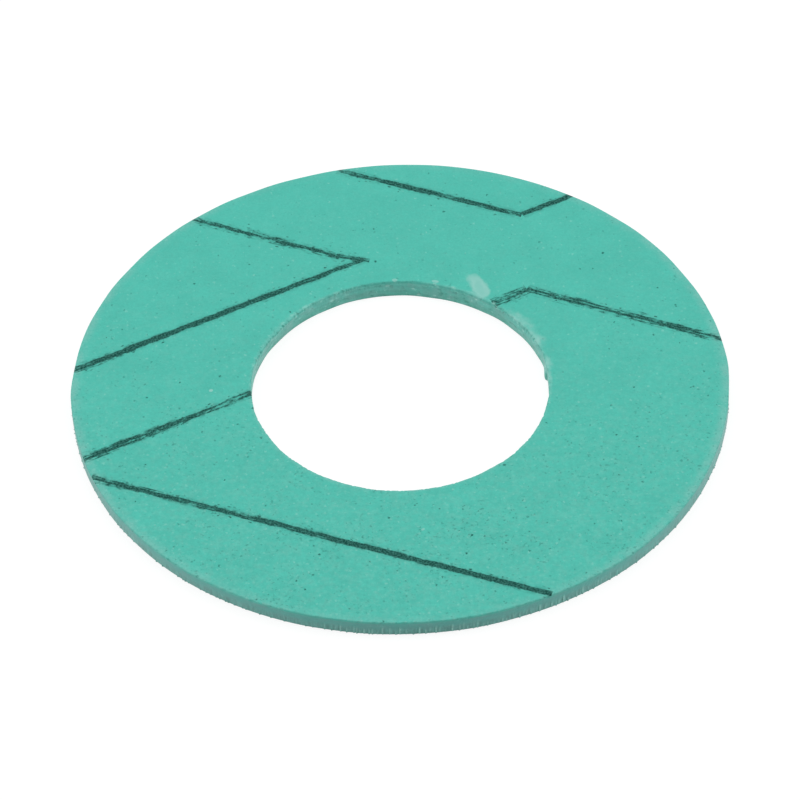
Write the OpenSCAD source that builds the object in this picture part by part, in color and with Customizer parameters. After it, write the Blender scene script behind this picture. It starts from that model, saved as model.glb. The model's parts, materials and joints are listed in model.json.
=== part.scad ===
// Flat ring gasket, cut in one piece from compressed-fibre sheet.
// It lies flat: the origin is the centre of the bore on the lower sealing face, and +Z is up.

/* [Ring] */
// Outside diameter of the ring, which sits inside the flange bolts
outside_d = 73.2; // [60:0.1:120]
// Diameter of the bore
bore_d = 33.3; // [20:0.1:50]
// Thickness of the sheet that the ring is cut from
sheet_t = 2; // [1:0.1:4]

/* [Cut edges] */
// Radius of the upper edges, which the knife presses down as it enters the sheet
upper_edge_r = 0.15; // [0.05:0.01:0.4]
// Radius of the lower edges, where the knife leaves the sheet
lower_edge_r = 0.08; // [0.02:0.01:0.4]

/* [Hidden] */
$fn = 180;

outside_r = outside_d / 2;
bore_r = bore_d / 2;

// What an edge radius takes off a square corner. The corner is at the origin, and the
// material lies towards the point given by the signs in toward.
module edge_waste(edge_r, toward) {
    overlap = edge_r / 2;
    difference() {
        translate([toward.x > 0 ? -overlap : -edge_r, toward.y > 0 ? -overlap : -edge_r])
            square(edge_r + overlap);
        translate(edge_r * toward)
            circle(r = edge_r);
    }
}

// Half of the ring's section: sheet with square-cut walls and a small radius on each cut edge.
module ring_section() {
    difference() {
        translate([bore_r, 0])
            square([outside_r - bore_r, sheet_t]);
        translate([outside_r, sheet_t])
            edge_waste(upper_edge_r, [-1, -1]);
        translate([bore_r, sheet_t])
            edge_waste(upper_edge_r, [1, -1]);
        translate([outside_r, 0])
            edge_waste(lower_edge_r, [-1, 1]);
        translate([bore_r, 0])
            edge_waste(lower_edge_r, [1, 1]);
    }
}

module gasket_ring() {
    color([0.345, 0.745, 0.682])
        rotate_extrude()
            ring_section();
}

gasket_ring();
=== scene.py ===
import json
import math

import bmesh
import bpy
import numpy as np
from mathutils import Matrix, Vector


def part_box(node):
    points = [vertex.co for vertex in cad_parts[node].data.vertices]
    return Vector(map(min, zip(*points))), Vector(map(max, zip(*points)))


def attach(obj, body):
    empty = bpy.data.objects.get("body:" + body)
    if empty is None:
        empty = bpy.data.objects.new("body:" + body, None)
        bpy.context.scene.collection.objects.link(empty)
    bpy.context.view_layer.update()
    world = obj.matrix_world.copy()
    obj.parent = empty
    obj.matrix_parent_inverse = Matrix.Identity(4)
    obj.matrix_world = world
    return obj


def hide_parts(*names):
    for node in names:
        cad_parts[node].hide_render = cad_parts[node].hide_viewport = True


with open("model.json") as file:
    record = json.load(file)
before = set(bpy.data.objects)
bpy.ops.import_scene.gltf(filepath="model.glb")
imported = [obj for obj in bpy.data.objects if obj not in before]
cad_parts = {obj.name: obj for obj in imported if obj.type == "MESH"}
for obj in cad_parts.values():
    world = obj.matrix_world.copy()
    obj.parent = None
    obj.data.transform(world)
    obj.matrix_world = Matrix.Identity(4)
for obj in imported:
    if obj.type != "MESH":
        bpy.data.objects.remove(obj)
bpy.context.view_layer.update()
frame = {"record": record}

mm = 0.001  # the scene is in metres
ringLow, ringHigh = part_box("gasket_ring")
outerRadius = (ringHigh.x - ringLow.x) / 2
sheetThickness = ringHigh.z - ringLow.z
mounts = {mount["name"]: mount for mount in frame["record"]["mounts"]}
boreRadius = mounts["bore"]["dims"]["r_mm"] * mm
print(f"frame: ring of {outerRadius / mm:.2f} mm radius, bore of {boreRadius / mm:.2f} mm radius")


# Selecting in edit mode, and moving vertices

def pick(piece, kind, test):
    # selects what passes the test, where kind is VERT, EDGE or FACE
    bpy.ops.object.mode_set(mode="EDIT")
    bpy.ops.mesh.select_mode(type=kind)
    bpy.ops.mesh.select_all(action="DESELECT")
    cage = bmesh.from_edit_mesh(piece.data)
    parts = {"VERT": cage.verts, "EDGE": cage.edges, "FACE": cage.faces}[kind]
    for part in parts:
        part.select_set(test(part))
    cage.select_flush_mode()
    bmesh.update_edit_mesh(piece.data)


def edgeMiddle(edge):
    first, second = edge.verts
    return (first.co + second.co) / 2


def readPlaces(piece):
    places = np.empty(len(piece.data.vertices) * 3, np.float32)
    piece.data.vertices.foreach_get("co", places)
    return places.reshape(-1, 3)


def moveVertices(piece, outward, downward):
    # each vertex moves along its own radius from the bore axis, and down
    places = readPlaces(piece)
    radius = np.hypot(places[:, 0], places[:, 1])
    places[:, :2] *= (1 + outward / radius)[:, None]
    places[:, 2] -= downward
    piece.data.vertices.foreach_set("co", places.ravel())
    piece.data.update()


def saveMarks(piece, name, values):
    # a number for each vertex, which the finishes read as an attribute
    layer = piece.data.attributes.new(name, "FLOAT", "POINT")
    layer.data.foreach_set("value", values.astype(np.float32))


def smoothStep(low, high, value):
    share = np.clip((value - low) / (high - low), 0, 1)
    return share * share * (3 - 2 * share)


# The ring: its section is drawn once and turned about the bore axis

ringPiece = {
    "columns": 2070,  # faces round the ring, as fine as the marks of the knife
    "upperEdge": 0.15 * mm,  # edge that the knife presses down
    "upperSegments": 3,
    "lowerEdge": 0.08 * mm,
    "lowerSegments": 2,
    "rimRows": 12,
    "boreRows": 12,
    "faceRings": (0.3, 0.5, 0.8, 1.2, 2.0),  # from each edge across the upper face, in mm
    "seamWithin": 0.002 * mm,  # the two ends of the turn are merged
}


def buildRing(look):
    bpy.ops.object.select_all(action="DESELECT")
    middle = (outerRadius + boreRadius) / 2
    bpy.ops.mesh.primitive_plane_add(
        size=1, calc_uvs=False, location=(middle, 0, sheetThickness / 2), rotation=(math.pi / 2, 0, 0))
    piece = bpy.context.object
    piece.name = "fibreRing"
    piece.data.name = "fibreRing"
    piece.scale = (outerRadius - boreRadius, sheetThickness, 1)
    bpy.ops.object.transform_apply(location=True, rotation=True, scale=True)

    # round the four corners of the section
    bpy.ops.object.mode_set(mode="EDIT")
    bpy.ops.mesh.select_all(action="SELECT")
    bpy.ops.mesh.delete(type="ONLY_FACE")
    pick(piece, "VERT", lambda vertex: vertex.co.z > sheetThickness / 2)
    bpy.ops.mesh.bevel(affect="VERTICES", offset=look["upperEdge"], segments=look["upperSegments"])
    pick(piece, "VERT", lambda vertex: vertex.co.z < look["lowerEdge"] / 2)
    bpy.ops.mesh.bevel(affect="VERTICES", offset=look["lowerEdge"], segments=look["lowerSegments"])

    # rows up the two walls, and rings across the faces near the edges
    nearWall = 0.01 * mm
    pick(piece, "EDGE", lambda edge: edgeMiddle(edge).x > outerRadius - nearWall)
    bpy.ops.mesh.subdivide(number_cuts=look["rimRows"] - 1)
    pick(piece, "EDGE", lambda edge: edgeMiddle(edge).x < boreRadius + nearWall)
    bpy.ops.mesh.subdivide(number_cuts=look["boreRows"] - 1)
    for step in look["faceRings"]:
        for radius in (boreRadius + step * mm, outerRadius - step * mm):
            pick(piece, "EDGE", lambda edge: edgeMiddle(edge).z > sheetThickness - nearWall)
            bpy.ops.mesh.bisect(plane_co=(radius, 0, 0), plane_no=(1, 0, 0))
    bpy.ops.object.mode_set(mode="OBJECT")

    # the spin operator takes minutes at this many steps, and the Screw modifier a second
    turn = piece.modifiers.new("turn", "SCREW")
    turn.steps = look["columns"]
    turn.render_steps = look["columns"]
    turn.use_merge_vertices = True
    turn.merge_threshold = look["seamWithin"]
    bpy.ops.object.modifier_apply(modifier=turn.name)
    bpy.ops.object.mode_set(mode="EDIT")
    bpy.ops.mesh.select_all(action="SELECT")
    bpy.ops.mesh.normals_make_consistent(inside=False)
    bpy.ops.object.mode_set(mode="OBJECT")
    print(f"ring: {len(piece.data.vertices)} vertices, {len(piece.data.polygons)} faces")
    return piece


ring = buildRing(ringPiece)


# Cut marks: what the knife left on the rim and in the bore

cutMarks = {
    "seed": 7,
    "edgeBand": 0.3 * mm,  # the marks fade out so far from each edge
    "driftBand": 3 * mm,  # and the wandering of the cut so far
    # ticks of the knife
    "apart": (3, 8),  # columns between one tick and the next
    "tickStrength": (0.2, 1),
    "tickClimb": (0.2, 0.65),  # up the wall, as a part of its height
    "rimTick": 0.05 * mm,
    "boreTick": 0.012 * mm,
    "beside": 0.4,  # what the next column has of a tick
    "strongArc": -78,  # degrees round from +X, where the blunt knife marked the rim most
    "strongSides": (0.86, 0.96),  # cosines of the angle from there, where the ticks grow strong
    "weakest": 0.2,
    # burrs along the lower edge, which carry a painted shadow away from the strong arc
    "burr": 0.11 * mm,
    "burrShare": 0.45,
    "burrSize": (0.4, 1),
    "burrHeight": (0.02, 0.14),  # parts of the wall's height, between which they end
    "burrShadow": (0.9, 0.98),  # cosines, as above
    # waver of the cut, and the number of waves round the ring
    "rimWaver": 0.05 * mm,
    "rimWaves": (3, 40),
    "boreWaver": 0.07 * mm,
    "boreWaves": (3, 30),
    "rimFray": 0.08 * mm,  # the upper edge of the rim is torn back so far, at most
    "frayWaves": (60, 300),
    # where the hand-held cut leaves the circle: angle and half span in degrees, and mm outward
    "rimDrift": (
        (3, 14, 0.15), (16, 16, 0.14), (36, 13, 0.09), (60, 50, 0.09), (82, 22, 0.08),
        (166, 10, 0.06), (180, 9, 0.18), (320, 26, 0.1),
    ),
    "boreDrift": (
        (16, 7, 0.14), (74, 20, -0.1), (142, 12, -0.07), (215, 40, -0.1),
        (228, 14, -0.06), (253, 7, -0.08), (255, 42, -0.1), (284, 14, -0.06),
    ),
    # where the knife leant: angle and half span in degrees, and mm outward at the upper edge
    "rimLean": ((-90, 85, 0.1), (-110, 60, 0.09), (-135, 30, 0.08), (-160, 25, 0.12), (-40, 30, 0.09)),
    "boreLean": ((90, 40, 0.3), (146, 25, -0.25)),
    # the step where the cut of the bore starts and ends: its place, rise, flat and length in degrees
    "stepAt": 7,
    "stepRise": 1.2,
    "stepFlat": 2,
    "stepLength": 8,
    "step": 0.24 * mm,
    "stepFade": 0.7,  # the part of it that is lost towards the upper edge
    # fibres that stand out of the walls
    "fibreHeight": 0.03 * mm,
    "fibreSize": 0.25 * mm,
}


def waver(angles, rng, lowest, highest):
    # a smooth wave round the ring, between -1 and 1
    total = np.zeros_like(angles)
    for turns in range(lowest, highest):
        total += rng.normal() / turns ** 0.5 * np.sin(turns * angles + rng.uniform(0, 2 * math.pi))
    return total / np.abs(total).max()


def tornBack(angles, rng, waves):
    # short bites round an edge, 1 at the deepest
    return np.clip(waver(angles, rng, *waves) * 1.8, 0, 1)


def drift(angles, bumps):
    total = np.zeros_like(angles)
    for middle, span, amount in bumps:
        away = np.abs((np.degrees(angles) - middle + 180) % 360 - 180)
        total += (1 - smoothStep(0, span, away)) * amount
    return total


def knifeTicks(look, rng, columns):
    # each tick is a ridge with a groove before it, and a burr hangs on some of them
    ticks = np.cumsum(rng.integers(*look["apart"], size=columns // look["apart"][0]))
    ticks = ticks[ticks < columns]
    before = (ticks - 1) % columns
    after = (ticks + 1) % columns
    strength = rng.uniform(*look["tickStrength"], len(ticks))
    burred = (rng.random(len(ticks)) < look["burrShare"]) * rng.uniform(*look["burrSize"], len(ticks))
    climbs = rng.uniform(*look["tickClimb"], len(ticks))
    ridge, groove, reach, burr = np.zeros((4, columns))
    groove[before] = strength
    ridge[after] = look["beside"] * strength
    burr[after] = look["beside"] * burred
    ridge[ticks] = strength
    burr[ticks] = burred
    for touched in (before, after, ticks):
        reach[touched] = climbs
    print(f"cut marks: {len(ticks)} ticks, {np.count_nonzero(burred)} burrs")
    return ridge, groove, reach, burr


def raiseFibres(piece, look, weights):
    walls = piece.vertex_groups.new(name="cutWalls")
    for index in np.flatnonzero(weights > 0.01):
        walls.add([int(index)], float(weights[index]), "REPLACE")
    clouds = bpy.data.textures.new("cutFibres", "CLOUDS")
    clouds.noise_scale = look["fibreSize"]
    fibres = piece.modifiers.new("cutFibres", "DISPLACE")
    fibres.texture = clouds
    fibres.vertex_group = walls.name
    fibres.strength = look["fibreHeight"]
    bpy.ops.object.modifier_apply(modifier=fibres.name)


def cutEdges(piece, look):
    rng = np.random.default_rng(look["seed"])
    columns = ringPiece["columns"]
    places = readPlaces(piece)
    radius = np.hypot(places[:, 0], places[:, 1])
    angles = np.arctan2(places[:, 1], places[:, 0])
    height = places[:, 2] / sheetThickness
    column = np.rint(angles / (2 * math.pi) * columns).astype(int) % columns
    onRim = smoothStep(outerRadius - look["edgeBand"], outerRadius, radius)
    onBore = 1 - smoothStep(boreRadius, boreRadius + look["edgeBand"], radius)
    nearRim = smoothStep(outerRadius - look["driftBand"], outerRadius, radius)
    nearBore = 1 - smoothStep(boreRadius, boreRadius + look["driftBand"], radius)

    # the ticks climb the walls from below
    ridge, groove, reach, burr = (values[column] for values in knifeTicks(look, rng, columns))
    around = np.cos(angles - math.radians(look["strongArc"]))
    climb = 1 - smoothStep(reach - 0.2, reach + 0.1, height)
    climb *= look["weakest"] + (1 - look["weakest"]) * smoothStep(*look["strongSides"], around)
    strokes = ridge * climb
    shadedGrooves = groove * climb
    shadedBurrs = burr * (1 - smoothStep(*look["burrHeight"], height)) * onRim

    # low down, the cut of the bore ends a little inside of where it started
    afterStep = (np.degrees(angles) - look["stepAt"]) % 360
    step = smoothStep(0, look["stepRise"], afterStep)
    step *= 1 - smoothStep(look["stepFlat"], look["stepLength"], afterStep)
    step *= onBore * (1 - look["stepFade"] * smoothStep(0.3, 1, height))

    outward = (strokes - 0.5 * shadedGrooves) * onRim * look["rimTick"] + shadedBurrs * look["burr"]
    outward -= strokes * onBore * look["boreTick"] + step * look["step"]
    outward += waver(angles, rng, *look["rimWaves"]) * nearRim * look["rimWaver"]
    outward += waver(angles, rng, *look["boreWaves"]) * nearBore * look["boreWaver"]
    outward += drift(angles, look["rimDrift"]) * nearRim * mm
    outward += drift(angles, look["boreDrift"]) * nearBore * mm
    outward += drift(angles, look["rimLean"]) * nearRim * height * mm
    outward += drift(angles, look["boreLean"]) * nearBore * height * mm
    torn = tornBack(angles, rng, look["frayWaves"]) * onRim
    torn *= smoothStep(0.75, 0.95, height) * smoothStep(0, 0.8, around)
    outward -= torn * look["rimFray"]
    moveVertices(piece, outward, 0)

    saveMarks(piece, "strokes", strokes * np.maximum(onRim, onBore * 0.5))
    # the dark tint of the grooves is a painted shadow beside each ridge
    saveMarks(piece, "shadedGrooves", shadedGrooves * onRim)
    # the dark tint of the burrs is a painted shadow under them
    saveMarks(piece, "shadedBurrs", shadedBurrs * (1 - smoothStep(*look["burrShadow"], around)))
    betweenEdges = smoothStep(0, 0.1, height) * (1 - smoothStep(0.9, 1, height))
    raiseFibres(piece, look, np.maximum(onRim, onBore) * betweenEdges)


cutEdges(ring, cutMarks)


# Wear round the bore: rubbed patches on the upper face, nicks and torn skin along the edge

edgeWear = {
    "seed": 11,
    # middle, turn in degrees, half length, half width and depth in mm, and how pale
    "rubs": (
        ((9.3, 15.6), -66, 2.6, 1.25, 0.0, 1.0),
        ((8.7, 14.6), -31, 1.3, 0.6, 0.03, 0.6),
        ((12.95, 10.6), -51, 1.7, 1.3, 0.1, 0.75),
        ((14.25, 9.05), -57, 1.7, 1.45, 0.08, 0.8),
        ((15.2, 7.0), -66, 2.6, 1.4, 0.12, 0.8),
        ((16.5, 3.2), -79, 1.8, 0.8, 0.08, 0.7),
        ((16.7, 1.0), -86, 1.5, 0.45, 0.05, 0.5),
        ((4.3, 16.75), -14, 0.45, 0.25, 0.0, 1.0),
        ((-0.3, 17.15), 0, 0.35, 0.25, 0.0, 1.0),
        ((-21.1, -0.1), 20, 0.35, 0.3, 0.0, 1.0),
        ((2.1, -22.7), 40, 0.3, 0.2, 0.0, 0.8),
    ),
    # pale nicks, and dark tears whose tint is torn skin with painted shade in the dent: angle round the
    # bore in degrees, and height, half length and half height in mm
    "nicks": (
        (116.4, 1.1, 0.4, 0.2), (93.8, 1.4, 0.4, 0.15), (91.2, 1.98, 0.25, 0.12), (84.0, 1.0, 0.3, 0.15),
        (81.7, 0.25, 0.35, 0.2), (75.5, 1.98, 0.3, 0.12), (68.0, 1.98, 0.4, 0.12), (58.0, 1.5, 0.3, 0.15),
        (50.0, 1.95, 0.3, 0.1), (33.0, 1.2, 0.3, 0.15), (147.0, 1.2, 0.3, 0.15),
    ),
    "shadedTears": (
        (112.8, 1.95, 0.35, 0.12), (107.0, 1.95, 0.3, 0.1), (99.8, 1.95, 0.4, 0.12),
        (83.0, 1.92, 0.7, 0.15), (62.0, 0.6, 0.5, 0.25),
    ),
    # small chips, scattered along the upper edge of the bore, in mm
    "paleChips": 8,
    "darkChips": 32,
    "chipLength": (0.1, 0.4),
    "chipHeight": (0.08, 0.16),
    "chipBelow": (0.1, 0.25),  # the upper face
    "farSide": (20, 170),  # degrees round the bore, where the knife came out
    "farShare": 0.6,
    "nickDepth": 0.07 * mm,
    "fray": 0.2 * mm,  # the upper edge of the bore is torn back so far, at most
    "frayWaves": (40, 260),
    "frayEverywhere": 0.3,
    "frayMost": ((145, 45, 0.7), (35, 40, 0.5)),  # angle and half span in degrees, and how much more
}


def rubDepth(rub, x, y):
    # most in the middle of the patch, 0 outside it
    (middleX, middleY), turn, length, width, depth = rub[:5]
    turn = math.radians(turn)
    along = (x - middleX) * math.cos(turn) + (y - middleY) * math.sin(turn)
    across = (y - middleY) * math.cos(turn) - (x - middleX) * math.sin(turn)
    return depth * (1 - smoothStep(0.3, 1, np.hypot(along / length, across / width)))


def nickShape(nicks, angles, height):
    # the distance to each nick is measured on the unrolled bore wall
    total = np.zeros_like(angles)
    for angle, middle, length, tall in nicks:
        turned = (angles - math.radians(angle) + math.pi) % (2 * math.pi) - math.pi
        away = np.hypot(turned * boreRadius / mm / length, (height - middle) / tall)
        total = np.maximum(total, 1 - smoothStep(0.3, 1, away))
    return total


def scatterChips(look, rng, count):
    # most of them lie on the far side of the bore
    angle = rng.uniform(-180, 180, count)
    angle = np.where(rng.random(count) < look["farShare"], rng.uniform(*look["farSide"], count), angle)
    length = rng.uniform(*look["chipLength"], count)
    tall = rng.uniform(*look["chipHeight"], count)
    height = sheetThickness / mm - rng.uniform(*look["chipBelow"], count)
    return tuple(zip(angle, height, length, tall))


def wearBore(piece, look):
    rng = np.random.default_rng(look["seed"])
    x, y, height = (readPlaces(piece) / mm).T
    radius = np.hypot(x, y)
    angles = np.arctan2(y, x)
    byBore = 1 - smoothStep(boreRadius / mm + 0.1, boreRadius / mm + 0.5, radius)
    rise = height / (sheetThickness / mm)
    rubbed = np.zeros_like(x)
    for rub in look["rubs"]:
        rubbed = np.maximum(rubbed, rubDepth(rub, x, y))
    frays = look["frayEverywhere"] + drift(angles, look["frayMost"])
    frays *= byBore * smoothStep(0.7, 0.95, rise)
    torn = tornBack(angles, rng, look["frayWaves"]) * frays
    nicks = nickShape(look["nicks"] + scatterChips(look, rng, look["paleChips"]), angles, height) * byBore
    shadedTears = nickShape(look["shadedTears"] + scatterChips(look, rng, look["darkChips"]), angles, height) * byBore
    outward = (nicks + shadedTears) * look["nickDepth"] + torn * look["fray"]
    moveVertices(piece, outward, rubbed * smoothStep(0.5, 1, rise) * mm)
    saveMarks(piece, "frays", frays)
    saveMarks(piece, "nicks", nicks)
    saveMarks(piece, "shadedTears", shadedTears)
    chips = look["paleChips"] + look["darkChips"]
    print(f"wear: {len(look['rubs'])} rubs, {len(look['nicks'])} nicks, {chips} small chips")


wearBore(ring, edgeWear)


# Short ways to write shader nodes

def newMaterial(name):
    made = bpy.data.materials.new(name)
    made.use_nodes = True
    tree = made.node_tree
    return made, tree, tree.nodes["Principled BSDF"]


def addNode(tree, kind, inputs, **settings):
    made = tree.nodes.new(kind)
    for name, value in settings.items():
        setattr(made, name, value)
    for name, value in inputs.items():
        if isinstance(value, bpy.types.NodeSocket):
            tree.links.new(value, made.inputs[name])
        else:
            made.inputs[name].default_value = value
    return made


def calc(tree, operation, first, second=0.0, third=0.0):
    made = addNode(tree, "ShaderNodeMath", {0: first, 1: second, 2: third}, operation=operation)
    return made.outputs[0]


def times(tree, first, second):
    return calc(tree, "MULTIPLY", first, second)


def larger(tree, first, second):
    return calc(tree, "MAXIMUM", first, second)


def linear(tree, value, slope, start):
    return calc(tree, "MULTIPLY_ADD", value, slope, start)


def ramp(tree, value, low, high, bottom=0.0, top=1.0):
    # a smooth climb from bottom to top as the value goes from low to high
    made = addNode(tree, "ShaderNodeMapRange", {
        "Value": value, "From Min": low, "From Max": high, "To Min": bottom, "To Max": top,
    }, interpolation_type="SMOOTHSTEP")
    return made.outputs[0]


def choose(tree, picked, first, second):
    made = addNode(tree, "ShaderNodeMix", {0: picked, 2: first, 3: second}, data_type="FLOAT")
    return made.outputs[0]


def blendColour(tree, amount, first, second):
    made = addNode(tree, "ShaderNodeMix", {0: amount, 6: first, 7: second}, data_type="RGBA")
    return made.outputs[2]


def scaled(tree, vector, amounts):
    # coordinates along each axis, or a colour by its brightness
    made = addNode(tree, "ShaderNodeVectorMath", {0: vector, 1: amounts}, operation="MULTIPLY")
    return made.outputs[0]


def lengthOf(tree, vector):
    return addNode(tree, "ShaderNodeVectorMath", {0: vector}, operation="LENGTH").outputs["Value"]


def splitPlace(tree, coords):
    return addNode(tree, "ShaderNodeSeparateXYZ", {0: coords}).outputs


def joinPlace(tree, x, y, z=0.0):
    return addNode(tree, "ShaderNodeCombineXYZ", {0: x, 1: y, 2: z}).outputs[0]


def millimetres(tree):
    # Object coordinates in millimetres
    coords = tree.nodes.new("ShaderNodeTexCoord")
    made = addNode(tree, "ShaderNodeMapping", {
        "Vector": coords.outputs["Object"], "Scale": (1 / mm, 1 / mm, 1 / mm)})
    return made.outputs[0]


def axisDistance(tree, coords):
    return lengthOf(tree, scaled(tree, coords, (1, 1, 0)))


def localPlace(tree, coords, start, degrees):
    # distances along and across a line that starts at a point and runs at an angle
    made = addNode(tree, "ShaderNodeMapping", {
        "Vector": coords, "Location": (*start, 0), "Rotation": (0, 0, math.radians(degrees)),
    }, vector_type="TEXTURE")
    return splitPlace(tree, made.outputs[0])[:2]


def unrolled(tree, coords, radius):
    # length round the ring, distance from the axis and height, with the seam at the front
    x, y, z = splitPlace(tree, coords)
    turn = calc(tree, "ARCTAN2", times(tree, x, -1.0), y)
    return joinPlace(tree, times(tree, turn, radius), axisDistance(tree, coords), z)


def grain(tree, coords, scale, detail=2.0, roughness=0.5):
    # noise between 0 and 1, where the scale is in waves for each mm
    made = addNode(tree, "ShaderNodeTexNoise", {
        "Vector": coords, "Scale": scale, "Detail": detail, "Roughness": roughness})
    return made.outputs["Fac"]


def evenGrain(tree, coords, scale, detail=2.0, roughness=0.5):
    # as much below 0 as above it
    return calc(tree, "SUBTRACT", grain(tree, coords, scale, detail, roughness), 0.5)


def wave(tree, along, scale, start=0.0, detail=1.5):
    # noise along a line, about 0
    made = addNode(tree, "ShaderNodeTexNoise", {
        "W": calc(tree, "ADD", along, start), "Scale": scale, "Detail": detail}, noise_dimensions="1D")
    return calc(tree, "SUBTRACT", made.outputs["Fac"], 0.5)


def varied(tree, noise, amount):
    # a brightness about 1 that follows the noise
    return linear(tree, noise, amount, 1 - amount / 2)


def specks(tree, coords, spacing, size, share, strength, dimensions="2D"):
    # scattered spots: one cell in so many holds one, and each has its own size and strength
    cells = addNode(tree, "ShaderNodeTexVoronoi", {
        "Vector": coords, "Scale": 1 / spacing}, voronoi_dimensions=dimensions)
    chance = addNode(tree, "ShaderNodeSeparateColor", {0: cells.outputs["Color"]}).outputs
    picked = calc(tree, "LESS_THAN", chance[0], share)
    reach = linear(tree, chance[1], size / spacing, 0.4 * size / spacing)
    spot = ramp(tree, cells.outputs["Distance"], times(tree, reach, 0.4), reach, 1.0, 0.0)
    own = linear(tree, chance[2], 0.75 * strength, 0.25 * strength)
    return times(tree, times(tree, spot, picked), own)


def shaken(tree, coords, scale, reach):
    # coordinates that a fine noise pushes about, so that spots and edges are ragged
    noise = addNode(tree, "ShaderNodeTexNoise", {"Vector": coords, "Scale": scale, "Detail": 1.0})
    centred = addNode(tree, "ShaderNodeVectorMath", {
        0: noise.outputs["Color"], 1: (0.5, 0.5, 0.5)}, operation="SUBTRACT")
    moved = addNode(tree, "ShaderNodeVectorMath", {
        0: centred.outputs[0], 1: (reach, reach, reach), 2: coords}, operation="MULTIPLY_ADD")
    return moved.outputs[0]


# What the marks of the mesh and the torn edge add to a colour, and how every finish ends

def tintMarks(tree, name, fine, colour, tint):
    # the fine grain breaks the marks up
    marks = addNode(tree, "ShaderNodeAttribute", {}, attribute_name=name).outputs["Fac"]
    broken = ramp(tree, fine, 0.35, 0.6, 0.4, 0.9)
    return blendColour(tree, times(tree, marks, broken), colour, tint)


def frayEdge(tree, coords, colour, pale, dark):
    # the torn edge of the bore is mottled on the face and on the wall alike
    frays = addNode(tree, "ShaderNodeAttribute", {}, attribute_name="frays").outputs["Fac"]
    mottle = grain(tree, coords, 1.4, 3.0, 0.6)
    lighter = times(tree, frays, ramp(tree, mottle, 0.5, 0.68, 0.0, 0.7))
    darker = times(tree, frays, ramp(tree, mottle, 0.46, 0.32, 0.0, 0.4))
    return blendColour(tree, darker, blendColour(tree, lighter, colour, pale), dark)


def finishSurface(tree, shader, look, colour, fine):
    tree.links.new(colour, shader.inputs["Base Color"])
    shader.inputs["Roughness"].default_value = look["roughness"]
    shader.inputs["Specular IOR Level"].default_value = look["shine"]
    shader.inputs["Sheen Weight"].default_value = look["fuzz"]
    bump = addNode(tree, "ShaderNodeBump", {
        "Height": fine, "Strength": look["bump"], "Distance": look["bumpHeight"]})
    tree.links.new(bump.outputs[0], shader.inputs["Normal"])


# Printed zigzag: the strokes on the upper face, in millimetres from the bore axis

zigzag = {
    "ink": (0.002, 0.045, 0.036, 1),
    "dryInk": (0.04, 0.17, 0.14, 1),
    # from, to, how full the ink is at even steps along, how dry the stroke was drawn at
    # even steps along, and how open its middle is, or how solid when below 0
    "falling": (
        ((-23.3, 28.28), (-6.5, 21.25), (0.15, 0.55, 0.25, 0.6, 0.55, 0.5), (1.0, 1.0), -0.6),
        ((-6.9, 21.45), (-3.1, 20.5), (1.0, 0.35, 0.55), (0.6, 0.6), 0.0),
        ((-34.3, -13.34), (15.8, -33.03),
         (0.85, 1.15, 0.9, 0.95, 1.2, 1.1, 1.05, 0.8), (0.9, 0.5, 0.2, 0.0, 0.0), 0.0),
        ((-6.6, 35.95), (14.45, 27.5),
         (0.45, 0.95, 0.35, 1.0, 1.1, 1.05, 0.55, 0.95, 1.1, 0.9, 0.6), (0.2, 0.2), 0.0),
        ((14.65, 15.1), (36.6, 5.95), (0.5, 0.9, 0.45, 0.65, 0.8, 0.45), (1.0, 1.0), -0.4),
    ),
    "rising": (
        ((-36.6, 3.7), (-3.8, 20.75),
         (0.8, 1.6, 1.35, 1.15, 1.15, 1.0, 0.85, 0.75, 0.95), (1.0, 0.2, 0.1, 0.1, 0.2), 0.0),
        ((-35.5, -10.6), (-16.4, -0.6), (1.05, 1.5, 1.25, 1.2, 0.75, 1.3), (0.9, 0.7, 0.5, 0.7), 0.4),
        ((14.5, 27.6), (20.4, 30.7), (1.0, 0.95, 0.8), (0.2, 0.2), 0.0),
        ((10.7, 12.9), (14.7, 15.0), (1.2, 1.25, 0.65), (1.0, 1.0), 0.2),
    ),
    "waver": 0.25,  # of a stroke to both sides, in mm
    "ownNoise": 70.0,  # mm of noise from the start of one stroke to the start of the next
    "farAside": 100.0,  # what is past the ends of a stroke is put so far beside it, in mm
    # the first is for a full stroke and the second for a dry one
    "streaks": (2.0, 6.0),
    "clumps": (2.0, 4.0),
    "grain": (1.3, 1.9),
    "firm": (0.31, 0.17),  # half width of the middle, in mm
    "thinning": (9.0, 3.0),  # beside the middle, for each mm
    "thinnest": (-0.5, -0.9),  # level at which the ink begins to show
    "thickest": (0.8, 1.1),  # level at which it covers the sheet
}


def evenSteps(tree, here, run, values):
    # a smooth change through values that are spaced evenly along the run
    step = run / (len(values) - 1)
    total = values[0]
    for index, (old, new) in enumerate(zip(values, values[1:])):
        change = ramp(tree, here, index * step, (index + 1) * step, 0.0, new - old)
        total = calc(tree, "ADD", change, total)
    return total


def strokePlace(tree, coords, look, number, stroke):
    # along and across the stroke, how full its ink is there, how dry it is and how open
    start, end, fullness, dryness, hollow = stroke
    run = math.hypot(end[0] - start[0], end[1] - start[1])
    degrees = math.degrees(math.atan2(end[1] - start[1], end[0] - start[0]))
    here, aside = localPlace(tree, coords, start, degrees)
    before = calc(tree, "LESS_THAN", here, 0.0)
    after = calc(tree, "GREATER_THAN", here, run)
    aside = linear(tree, calc(tree, "ADD", before, after), look["farAside"], aside)
    full = evenSteps(tree, here, run, fullness)
    dry = evenSteps(tree, here, run, dryness)
    along = calc(tree, "ADD", here, look["ownNoise"] * number)
    return along, aside, full, dry, hollow


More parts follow.
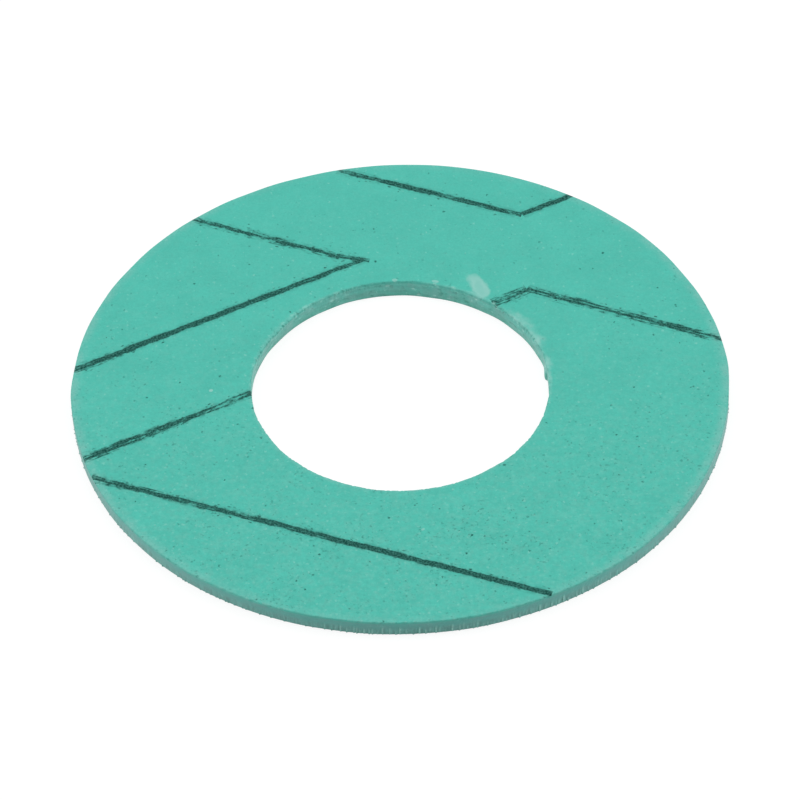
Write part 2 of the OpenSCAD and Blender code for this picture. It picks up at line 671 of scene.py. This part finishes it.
def inkOfStrokes(tree, coords, look, strokes):
    # the stroke that is nearest decides
    nearest = strokePlace(tree, coords, look, 0, strokes[0])
    for number, stroke in enumerate(strokes[1:], 1):
        here = strokePlace(tree, coords, look, number, stroke)
        away, least = (calc(tree, "ABSOLUTE", place[1]) for place in (here, nearest))
        closer = calc(tree, "LESS_THAN", away, least)
        nearest = [choose(tree, closer, old, new) for old, new in zip(nearest, here)]
    return inkCover(tree, look, *nearest)


def inkCover(tree, look, along, across, fullness, dryness, hollow):
    def byDryness(name):
        full, dry = look[name]
        return linear(tree, dryness, dry - full, full)

    flat = joinPlace(tree, along, across)
    away = calc(tree, "ABSOLUTE", linear(tree, wave(tree, along, 0.25), look["waver"], across))

    # streaks, clumps, patches and a fine grain decide where the ink took
    streak = evenGrain(tree, scaled(tree, flat, (0.22, 4.0, 1)), 1.0, 2.0, 0.55)
    clump = evenGrain(tree, scaled(tree, flat, (1.2, 2.6, 1)), 1.0, 2.0, 0.5)
    fine = evenGrain(tree, scaled(tree, flat, (3.0, 5.5, 1)), 1.0, 2.0, 0.6)
    patch = wave(tree, along, 0.45, 23.0, 2.5)
    level = linear(tree, streak, byDryness("streaks"), fullness)
    level = linear(tree, clump, byDryness("clumps"), level)
    level = linear(tree, fine, byDryness("grain"), level)
    level = calc(tree, "ADD", patch, level)

    # a full stroke has firm sides, and a dry one thins out slowly
    outside = larger(tree, calc(tree, "SUBTRACT", away, byDryness("firm")), 0.0)
    level = calc(tree, "SUBTRACT", level, times(tree, outside, byDryness("thinning")))
    middle = ramp(tree, away, 0.08, 0.3, 1.0, 0.0)
    level = calc(tree, "SUBTRACT", level, times(tree, middle, hollow))
    cover = ramp(tree, level, byDryness("thinnest"), byDryness("thickest"), 0.0, 0.97)
    wash = ramp(tree, away, 0.35, 0.95, 0.3, 0.0)
    wash = times(tree, wash, ramp(tree, clump, -0.12, 0.15, 0.1, 1.0))

    # flecks lie beside the stroke
    share = times(tree, ramp(tree, away, 0.4, 1.1, 0.5, 0.0), ramp(tree, patch, -0.12, 0.12))
    ragged = shaken(tree, scaled(tree, flat, (0.5, 1, 1)), 6.0, 0.25)
    flecks = specks(tree, ragged, 0.3, 0.12, share, 0.95)
    return larger(tree, larger(tree, cover, wash), flecks)


# Sheet faces: pressed rubber and fibre, flecked, with the print on the upper one

sheetFace = {
    "colour": (0.087, 0.507, 0.416, 1),
    "faded": (0.2, 0.52, 0.44, 1),
    "speck": (0.015, 0.12, 0.095, 1),
    "fleck": (0.3, 0.66, 0.58, 1),
    # pale edges, and a painted highlight along the upper edge of the rim
    "paleEdgeAndHighlight": (0.24, 0.53, 0.475, 1),
    "rub": (0.275, 0.6, 0.533, 1),
    "torn": (0.07, 0.32, 0.26, 1),
    # how much the brightness varies: in clouds, in patches of a millimetre and in the fine grain
    "clouds": 0.14,
    "mottle": 0.16,
    "grain": 0.26,
    "fading": 0.15,
    # the skin is smoother at the back and rougher in front: places along Y in mm, and how rough
    "backToFront": (30.0, -30.0),
    "rougher": (0.55, 1.6),
    # colour of the spots, their spacing and size in mm, how many there are and how strong
    "spots": (
        ("speck", 1.3, 0.12, 0.22, 0.75),
        ("speck", 2.6, 0.15, 0.4, 0.95),
        ("fleck", 1.1, 0.16, 0.4, 0.35),
        ("fleck", 0.75, 0.14, 0.4, 0.22),
    ),
    # width in mm of the pale borders, and of the painted highlight along the upper edge of the rim
    "rimBorder": 1.3,
    "rimHighlight": 0.3,
    "boreBorder": 0.5,
    "roughness": 0.65,
    "shine": 0.05,
    "fuzz": 0.0,
    "bump": 0.15,
    "bumpHeight": 0.03 * mm,
}


def skinColour(tree, coords, look, fine, frontal):
    clouds = varied(tree, grain(tree, coords, 0.3, 3.0), look["clouds"])
    mottle = times(tree, evenGrain(tree, coords, 1.6, 3.0), look["mottle"])
    mottle = linear(tree, mottle, frontal, 1.0)
    brightness = times(tree, times(tree, clouds, mottle), varied(tree, fine, look["grain"]))
    fading = ramp(tree, grain(tree, coords, 1.3, 3.0, 0.6), 0.4, 0.68, 0.0, look["fading"])
    colour = blendColour(tree, times(tree, fading, frontal), look["colour"], look["faded"])
    return scaled(tree, colour, brightness)


def edgeHazeAndHighlight(tree, coords, look, fine):
    # the skin is paler along the edges, most to the left and right of the rim, and the rounded upper edge
    # of the rim carries a painted highlight in pale dots
    rim = outerRadius / mm
    bore = boreRadius / mm
    radius = axisDistance(tree, coords)
    sideways = calc(tree, "ABSOLUTE", calc(tree, "DIVIDE", splitPlace(tree, coords)[0], radius))
    atRim = ramp(tree, radius, rim - look["rimBorder"], rim)
    atRim = times(tree, atRim, ramp(tree, sideways, 0.2, 1.0, 0.2, 0.5))
    atRim = times(tree, atRim, ramp(tree, grain(tree, coords, 0.5), 0.35, 0.6, 0.4, 1.1))
    atBore = ramp(tree, radius, bore, bore + look["boreBorder"], 0.3, 0.0)
    haze = times(tree, larger(tree, atRim, atBore), ramp(tree, fine, 0.3, 0.65, 0.6, 1.2))
    # pale dots along the rounded upper edge of the rim: a painted highlight
    edgeHighlight = ramp(tree, grain(tree, coords, 1.8, 3.0, 0.6), 0.46, 0.66, 0.0, 0.5)
    edgeHighlight = times(tree, edgeHighlight, ramp(tree, radius, rim - look["rimHighlight"], rim))
    return larger(tree, haze, edgeHighlight)


def scatterSpots(tree, coords, look, colour, frontal):
    # specks of fibre and filler, more of them towards the front
    ragged = shaken(tree, coords, 6.0, 0.4)
    crowd = times(tree, frontal, ramp(tree, grain(tree, coords, 0.25), 0.38, 0.6, 0.3, 1.7))
    smudges = linear(tree, crowd, 0.035, grain(tree, coords, 2.4, 3.0, 0.65))
    colour = blendColour(tree, ramp(tree, smudges, 0.66, 0.79, 0.0, 0.45), colour, look["speck"])
    crowding = {"speck": crowd, "fleck": frontal}
    for tint, spacing, size, share, strength in look["spots"]:
        spots = specks(tree, ragged, spacing, size, times(tree, crowding[tint], share), strength)
        colour = blendColour(tree, spots, colour, look[tint])
    return colour


def rubCover(tree, coords, rubs):
    # pale patches with uneven sides, smooth on the face and mottled where the edge is worn down
    total = 0.0
    streaked = scaled(tree, unrolled(tree, coords, boreRadius / mm), (0.8, 1.3, 1))
    mottled = ramp(tree, grain(tree, streaked, 1.0, 3.0, 0.6), 0.34, 0.66, 0.4, 1.15)
    uneven = evenGrain(tree, coords, 0.8, 2.0, 0.5)
    for start, degrees, length, width, depth, paleness in rubs:
        along, across = localPlace(tree, coords, start, degrees)
        along = calc(tree, "DIVIDE", along, length)
        across = calc(tree, "DIVIDE", across, width)
        away = linear(tree, uneven, 0.9, lengthOf(tree, joinPlace(tree, along, across)))
        if depth:
            patch = times(tree, ramp(tree, away, 0.2, 1.0, paleness, 0.0), mottled)
        else:
            border = ramp(tree, linear(tree, uneven, 1.5, away), 0.1, 0.9, 0.75, 1.0)
            patch = times(tree, ramp(tree, away, 0.55, 1.0, paleness, 0.0), border)
        total = larger(tree, total, patch)
    return total


def printAndWear(tree, coords, look, colour, fine):
    falling = inkOfStrokes(tree, coords, zigzag, zigzag["falling"])
    rising = inkOfStrokes(tree, coords, zigzag, zigzag["rising"])
    dried = ramp(tree, grain(tree, coords, 4.5, 2.0, 0.6), 0.38, 0.66)
    ink = blendColour(tree, dried, zigzag["ink"], zigzag["dryInk"])
    colour = blendColour(tree, larger(tree, falling, rising), colour, ink)
    colour = frayEdge(tree, coords, colour, look["fleck"], look["torn"])
    colour = blendColour(tree, rubCover(tree, coords, edgeWear["rubs"]), colour, look["rub"])
    return tintMarks(tree, "nicks", fine, colour, look["fleck"])


def makeFace(name, look, printed):
    material, tree, shader = newMaterial(name)
    coords = millimetres(tree)
    fine = grain(tree, coords, 4.0, 2.0, 0.7)
    frontal = ramp(tree, splitPlace(tree, coords)[1], *look["backToFront"], *look["rougher"])
    colour = skinColour(tree, coords, look, fine, frontal)
    colour = blendColour(tree, edgeHazeAndHighlight(tree, coords, look, fine), colour, look["paleEdgeAndHighlight"])
    colour = scatterSpots(tree, coords, look, colour, frontal)
    if printed:
        colour = printAndWear(tree, coords, look, colour, fine)
    finishSurface(tree, shader, look, colour, fine)
    return material


# Cut walls: greyer than the skin, with pale ridges where the knife dragged

cutRim = {
    "colour": (0.112, 0.462, 0.41, 1),
    "lower": (0.15, 0.44, 0.39, 1),  # towards the lower edge the wall is drier
    "skin": sheetFace["colour"],  # which the knife drew down over the upper edge
    "skinEnds": 0.3,  # mm below the upper face
    "skinWhole": 0.05,
    "ridge": (0.45, 0.86, 0.77, 1),
    "speck": (0.06, 0.17, 0.145, 1),
    "torn": (0.06, 0.36, 0.28, 1),
    "grey": (0.16, 0.43, 0.395, 1),
    "smears": 0.16,  # along the wall
    "drags": 1.2,  # up and down the lower half
    "blotches": 0.12,
    "grain": 0.3,
    "spots": (0.9, 0.14, 0.35, 0.6),  # spacing and size in mm, how many there are and how strong
    # marks that the mesh carries, and the colour of each: the dark tint is a painted shadow on the grooves
    # and burrs, and torn skin with painted shade in the dents of the tears
    "marks": (
        ("shadedGrooves", "torn"), ("strokes", "ridge"), ("shadedBurrs", "torn"), ("shadedTears", "torn"), ("nicks", "ridge"),
    ),
    "roughness": 0.7,
    "shine": 0.3,
    "fuzz": 0.35,
    "bump": 0.3,
    "bumpHeight": 0.04 * mm,
}
cutBore = dict(
    cutRim, colour=(0.13, 0.56, 0.475, 1), lower=(0.13, 0.535, 0.44, 1), grey=(0.2, 0.53, 0.47, 1),
    smears=0.6, drags=0.2, blotches=0.8)


def cutColour(tree, wall, look, height, fine):
    # the knife smears the wall along the cut, and drags fibres down its lower half
    thickness = sheetThickness / mm
    low = ramp(tree, height, 0.25 * thickness, 0.7 * thickness, 1.0, 0.0)
    smears = grain(tree, scaled(tree, wall, (0.35, 0, 2.2)), 1.0, 3.0, 0.6)
    drags = evenGrain(tree, scaled(tree, wall, (3.5, 0, 0.6)), 1.0, 2.0, 0.6)
    brightness = varied(tree, smears, look["smears"])
    dragged = times(tree, drags, times(tree, low, look["drags"]))
    brightness = linear(tree, brightness, dragged, brightness)
    brightness = times(tree, brightness, varied(tree, fine, look["grain"]))
    colour = blendColour(tree, low, look["colour"], look["lower"])
    greying = ramp(tree, grain(tree, scaled(tree, wall, (0.6, 0, 0.9)), 1.0, 2.0), 0.42, 0.62, 0.0, 0.6)
    colour = scaled(tree, blendColour(tree, greying, colour, look["grey"]), brightness)
    blotch = grain(tree, scaled(tree, wall, (1.1, 0, 1.8)), 1.0, 3.0, 0.65)
    colour = blendColour(tree, ramp(tree, blotch, 0.52, 0.72, 0.0, look["blotches"]), colour, look["torn"])
    return blendColour(tree, ramp(tree, blotch, 0.42, 0.25, 0.0, look["blotches"]), colour, look["ridge"])


def makeCut(name, look, radius):
    material, tree, shader = newMaterial(name)
    coords = millimetres(tree)
    thickness = sheetThickness / mm
    height = splitPlace(tree, coords)[2]
    fine = grain(tree, coords, 7.0, 2.0, 0.7)
    colour = cutColour(tree, unrolled(tree, coords, radius / mm), look, height, fine)

    # skin over the upper edge, then the marks and the specks
    lip = linear(tree, fine, 0.2, height)
    lip = ramp(tree, lip, thickness - look["skinEnds"], thickness - look["skinWhole"], 0.0, 0.9)
    colour = blendColour(tree, lip, colour, look["skin"])
    colour = frayEdge(tree, coords, colour, look["ridge"], look["torn"])
    for mark, tint in look["marks"]:
        colour = tintMarks(tree, mark, fine, colour, look[tint])
    ragged = shaken(tree, coords, 7.0, 0.3)
    colour = blendColour(tree, specks(tree, ragged, *look["spots"], "3D"), colour, look["speck"])
    finishSurface(tree, shader, look, colour, fine)
    return material


ringFinish = {
    "skinTilt": 0.15,  # least z of a normal where the skin runs over the upper edge
    "skinReach": 0.3 * mm,  # and how far down it runs
    "lowerTilt": -0.6,
    "lowerReach": 0.1 * mm,
    "smoothBelow": 40,  # degrees between faces
}


def dressRing(piece, look):
    for material in (
        makeFace("printedFace", sheetFace, True),
        makeFace("plainFace", sheetFace, False),
        makeCut("cutRim", cutRim, outerRadius),
        makeCut("cutBore", cutBore, boreRadius),
    ):
        piece.data.materials.append(material)
    midRadius = (outerRadius + boreRadius) / 2

    def isUpper(face):
        height = face.calc_center_median().z
        return face.normal.z > look["skinTilt"] and height > sheetThickness - look["skinReach"]

    def isLower(face):
        return face.normal.z < look["lowerTilt"] and face.calc_center_median().z < look["lowerReach"]

    def isWall(face):
        return not isUpper(face) and not isLower(face)

    def isOuter(face):
        return face.calc_center_median().xy.length > midRadius

    tests = (
        isUpper,
        isLower,
        lambda face: isWall(face) and isOuter(face),
        lambda face: isWall(face) and not isOuter(face),
    )
    for slot, test in enumerate(tests):
        pick(piece, "FACE", test)
        piece.active_material_index = slot
        bpy.ops.object.material_slot_assign()
    bpy.ops.object.mode_set(mode="OBJECT")
    bpy.ops.object.shade_smooth_by_angle(angle=math.radians(look["smoothBelow"]))
    print(f"finishes: {', '.join(slot.name for slot in piece.material_slots)}")


dressRing(ring, ringFinish)


# UV map: the printed face large, the plain face small, and the walls in straight strips

ringMap = {
    "name": "OFBake",
    "printed": ((0.36, 0.36), 0.355),  # middle and radius of the face in the map
    "plain": ((0.78, 0.78), 0.215),
    "burrRoom": 0.4,  # mm past the rim
    "stripScale": 0.0097,  # for each mm of the walls
    "stripLeft": 0.004,
    "stripBottom": 0.74,
    "stripApart": 0.03,
    "rimStrips": 4,
    "boreStrips": 2,
}


def mapFace(x, y, place, mirror, room):
    middle, size = place
    scale = size / (outerRadius / mm + room)
    return np.stack((middle[0] + mirror * x * scale, middle[1] + y * scale), axis=1)


def mapWall(x, y, height, turn, radius, count, first, look):
    # each strip takes an equal part of the turn, and a face belongs to the strip of its middle
    part = 2 * math.pi / count
    strip = np.floor((turn + math.pi) / part)
    start = strip * part - math.pi
    along = (np.arctan2(y, x) - start + part / 2) % (2 * math.pi) - part / 2
    left = look["stripLeft"] + along * radius * look["stripScale"]
    bottom = look["stripBottom"] + (first + strip) * look["stripApart"] + height * look["stripScale"]
    return np.stack((left, bottom), axis=1)


def mapRing(piece, look):
    mesh = piece.data
    corners = np.empty(len(mesh.loops), int)
    sides = np.empty(len(mesh.polygons), int)
    slots = np.empty(len(mesh.polygons), int)
    middles = np.empty(len(mesh.polygons) * 3)
    mesh.loops.foreach_get("vertex_index", corners)
    mesh.polygons.foreach_get("loop_total", sides)
    mesh.polygons.foreach_get("material_index", slots)
    mesh.polygons.foreach_get("center", middles)
    middles = middles.reshape(-1, 3)
    turn = np.repeat(np.arctan2(middles[:, 1], middles[:, 0]), sides)
    slot = np.repeat(slots, sides)
    x, y, height = (readPlaces(piece)[corners] / mm).T
    rimStrips = look["rimStrips"]
    boreStrips = look["boreStrips"]
    spread = (
        mapFace(x, y, look["printed"], 1, look["burrRoom"]),
        mapFace(x, y, look["plain"], -1, look["burrRoom"]),
        mapWall(x, y, height, turn, outerRadius / mm, rimStrips, 0, look),
        mapWall(x, y, height, turn, boreRadius / mm, boreStrips, rimStrips, look),
    )
    layer = mesh.uv_layers.new(name=look["name"])
    layer.data.foreach_set("uv", np.choose(slot[:, None], spread).ravel())
    print(f"map: {len(corners)} corners, {rimStrips + boreStrips} strips of wall")


mapRing(ring, ringMap)
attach(ring, "root")
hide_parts("gasket_ring")


# Stage: camera, floor and light

cameraShot = {
    "lens": 290.8,  # mm, as the sensor
    "sensor": 36,
    "nearest": 50 * mm,  # that the camera sees
    "distance": 721.5 * mm,  # from the middle of the upper face
    "elevation": 44.25,  # degrees above the floor
    "roll": -1.477,
    "offset": (-0.055 * mm, -1.673 * mm),  # right and up, from the aim
}


def setCamera(shot):
    lift = math.radians(shot["elevation"])
    bpy.ops.object.camera_add()
    camera = bpy.context.object
    camera.name = "productCamera"
    camera.data.lens = shot["lens"]
    camera.data.sensor_width = shot["sensor"]
    camera.data.clip_start = shot["nearest"]
    back = Vector((0, -math.cos(lift), math.sin(lift)))
    upward = Vector((0, math.sin(lift), math.cos(lift)))
    aim = Vector((0, 0, sheetThickness))
    right, up = shot["offset"]
    place = aim + back * shot["distance"] + Vector((right, 0, 0)) + upward * up
    camera.matrix_world = (
        Matrix.Translation(place)
        @ Matrix.Rotation(math.pi / 2 - lift, 4, "X")
        @ Matrix.Rotation(math.radians(shot["roll"]), 4, "Z"))
    bpy.context.scene.camera = camera


studio = {
    "floorSize": 4,
    "floorBelow": 0.02 * mm,  # so that the lower face and the floor don't coincide
    "floorBounce": 0.6,  # what the floor gives back to the walls
    "floorSeen": 0.2,  # the part of the seen floor that takes the shadow
    "floorWhite": 0.85,  # and the part that is plain white
    "sky": 0.42,
    # place and width in metres and power of the softboxes: one above, and one at each side
    "softboxes": (
        ((0.0, 0.3, 0.8), 1.2, 4.2),
        ((-0.8, 0.0, 0.35), 0.5, 2.5),
        ((0.8, 0.0, 0.35), 0.5, 2.5),
    ),
}


def seenRays(tree):
    # camera, glossy and transmission rays see the white backdrop itself
    path = tree.nodes.new("ShaderNodeLightPath").outputs
    seen = larger(tree, path["Is Camera Ray"], path["Is Glossy Ray"])
    return larger(tree, seen, path["Is Transmission Ray"])


def setFloor(look):
    bpy.ops.mesh.primitive_plane_add(size=look["floorSize"], location=(0, 0, -look["floorBelow"]))
    floor = bpy.context.object
    floor.name = "floor"
    material, tree, shader = newMaterial("paleFloor")
    tree.nodes.remove(shader)
    bounce = addNode(tree, "ShaderNodeBsdfDiffuse", {"Color": (look["floorBounce"],) * 3 + (1,)})
    shadowed = addNode(tree, "ShaderNodeBsdfDiffuse", {"Color": (look["floorSeen"],) * 3 + (1,)})
    plain = addNode(tree, "ShaderNodeEmission", {"Color": (1, 1, 1, 1), "Strength": look["floorWhite"]})
    seen = addNode(tree, "ShaderNodeAddShader", {0: shadowed.outputs[0], 1: plain.outputs[0]})
    either = addNode(tree, "ShaderNodeMixShader", {
        0: seenRays(tree), 1: bounce.outputs[0], 2: seen.outputs[0]})
    tree.links.new(either.outputs[0], tree.nodes["Material Output"].inputs[0])
    floor.data.materials.append(material)


def setLight(look):
    world = bpy.data.worlds.new("studioSky")
    bpy.context.scene.world = world
    world.use_nodes = True
    tree = world.node_tree
    sky = tree.nodes["Background"]
    sky.inputs["Color"].default_value = (1, 1, 1, 1)
    strength = choose(tree, seenRays(tree), look["sky"], 1.0)
    tree.links.new(strength, sky.inputs["Strength"])
    for place, width, power in look["softboxes"]:
        bpy.ops.object.light_add(type="AREA", location=place)
        lamp = bpy.context.object
        lamp.name = "softbox"
        lamp.data.energy = power
        lamp.data.size = width
        lamp.rotation_euler = (-lamp.location).to_track_quat("-Z", "Y").to_euler()


setCamera(cameraShot)
setFloor(studio)
setLight(studio)
bpy.context.scene.view_settings.view_transform = "Standard"
print(f"stage: camera, floor, sky and {len(studio['softboxes'])} softboxes")
